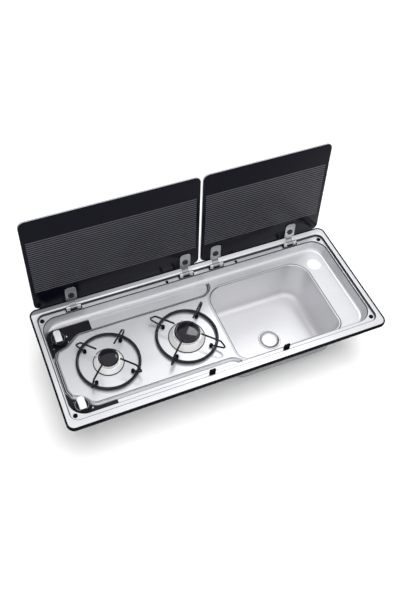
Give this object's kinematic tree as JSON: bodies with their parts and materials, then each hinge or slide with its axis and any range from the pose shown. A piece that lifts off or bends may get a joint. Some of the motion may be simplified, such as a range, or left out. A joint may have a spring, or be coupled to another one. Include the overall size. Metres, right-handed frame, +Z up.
{
  "type": "built-in hob and sink unit",
  "caption": "Long pressed stainless top for a worktop, with gas burners under wire pan supports, corner knobs, a deep sink bowl and hinged dark glass lids standing open.",
  "frame": {"origin": "middle of the rim in plan, on the underside of the rim seal, where the unit sits on the worktop", "axes": "+X to the right along the rim, from the hob to the sink; +Y to the rear, where the lids hinge; +Z up"},
  "size_m": [0.9, 0.4007, 0.4818],
  "materials": {
    "stainless": "satin stainless sheet",
    "bright_steel": "satin bright steel",
    "burner_alloy": "turned aluminium",
    "pipe_alloy": "plain drawn tube",
    "brass": "machined brass",
    "black_enamel": "gloss black enamel",
    "black_plastic": "matt black",
    "silver_plastic": "silver lacquer",
    "black_rubber": "black rubber",
    "tinted_glass": "toughened dark glass"
  },
  "bodies": {
    "unit": {"fixing_plugs": "black_rubber", "front_control_plate": "black_plastic", "front_gas_tap": "brass", "front_lid_buffers": "black_rubber", "gas_inlet_nut": "brass", "gas_inlet_pipe": "pipe_alloy", "gas_manifold": "pipe_alloy", "hinge_base_screws": "bright_steel", "large_burner_cap": "black_enamel", "large_burner_cup": "burner_alloy", "large_burner_head": "burner_alloy", "large_burner_jet": "brass", "large_feed_pipe": "pipe_alloy", "large_support_arms": "black_enamel", "large_support_feet": "black_rubber", "large_support_ring": "black_enamel", "large_thermocouple": "bright_steel", "large_thermocouple_lead": "bright_steel", "left_hinge_bases": "black_plastic", "left_hinge_ears": "bright_steel", "left_hinge_pins": "bright_steel", "rear_control_plate": "black_plastic", "rear_gas_tap": "brass", "right_hinge_bases": "black_plastic", "right_hinge_ears": "bright_steel", "right_hinge_pins": "bright_steel", "rim_seal": "black_rubber", "sink_bowl": "stainless", "small_burner_cap": "black_enamel", "small_burner_cup": "burner_alloy", "small_burner_head": "burner_alloy", "small_burner_jet": "brass", "small_feed_pipe": "pipe_alloy", "small_support_arms": "black_enamel", "small_support_feet": "black_rubber", "small_support_ring": "black_enamel", "small_thermocouple": "bright_steel", "small_thermocouple_lead": "bright_steel", "tap_screws": "bright_steel", "thermocouple_nuts": "brass", "top_plate": "stainless", "wall_rivets": "bright_steel"},
    "left_lid": {"left_clamp_caps": "black_plastic", "left_clamp_screws": "black_plastic", "left_inner_hinge_leaf": "bright_steel", "left_lid_glass": "tinted_glass", "left_outer_hinge_leaf": "bright_steel"},
    "right_lid": {"right_clamp_caps": "black_plastic", "right_clamp_screws": "black_plastic", "right_inner_hinge_leaf": "bright_steel", "right_lid_glass": "tinted_glass", "right_outer_hinge_leaf": "bright_steel"},
    "rear_plunger": {"rear_tap_plunger": "brass"},
    "rear_knob": {"rear_tap_stem": "bright_steel", "rear_knob_skirt": "black_plastic", "rear_knob_grip": "silver_plastic"},
    "front_plunger": {"front_tap_plunger": "brass"},
    "front_knob": {"front_tap_stem": "bright_steel", "front_knob_skirt": "black_plastic", "front_knob_grip": "silver_plastic"}
  },
  "joints": [
    {"name": "left_lid_hinge", "type": "hinge", "parent": "unit", "child": "left_lid", "pos_m": [0, 0.1585, 0.0115], "axis": [1, 0, 0], "range_deg": [0, 97.75]},
    {"name": "right_lid_hinge", "type": "hinge", "parent": "unit", "child": "right_lid", "pos_m": [0, 0.1585, 0.0115], "axis": [1, 0, 0], "range_deg": [0, 97.75]},
    {"name": "rear_knob_push", "type": "slide", "parent": "unit", "child": "rear_plunger", "axis": [0, 0, -1], "range_m": [0, 0.0025], "stiffness_N_per_m": 800, "springref_m": -0.001},
    {"name": "rear_knob_turn", "type": "hinge", "parent": "rear_plunger", "child": "rear_knob", "pos_m": [-0.396, 0.09, -0.017], "axis": [0, 0, 1], "range_deg": [0, 210]},
    {"name": "front_knob_push", "type": "slide", "parent": "unit", "child": "front_plunger", "axis": [0, 0, -1], "range_m": [0, 0.0025], "stiffness_N_per_m": 800, "springref_m": -0.001},
    {"name": "front_knob_turn", "type": "hinge", "parent": "front_plunger", "child": "front_knob", "pos_m": [-0.396, -0.117, -0.017], "axis": [0, 0, 1], "range_deg": [0, 210]}
  ]
}
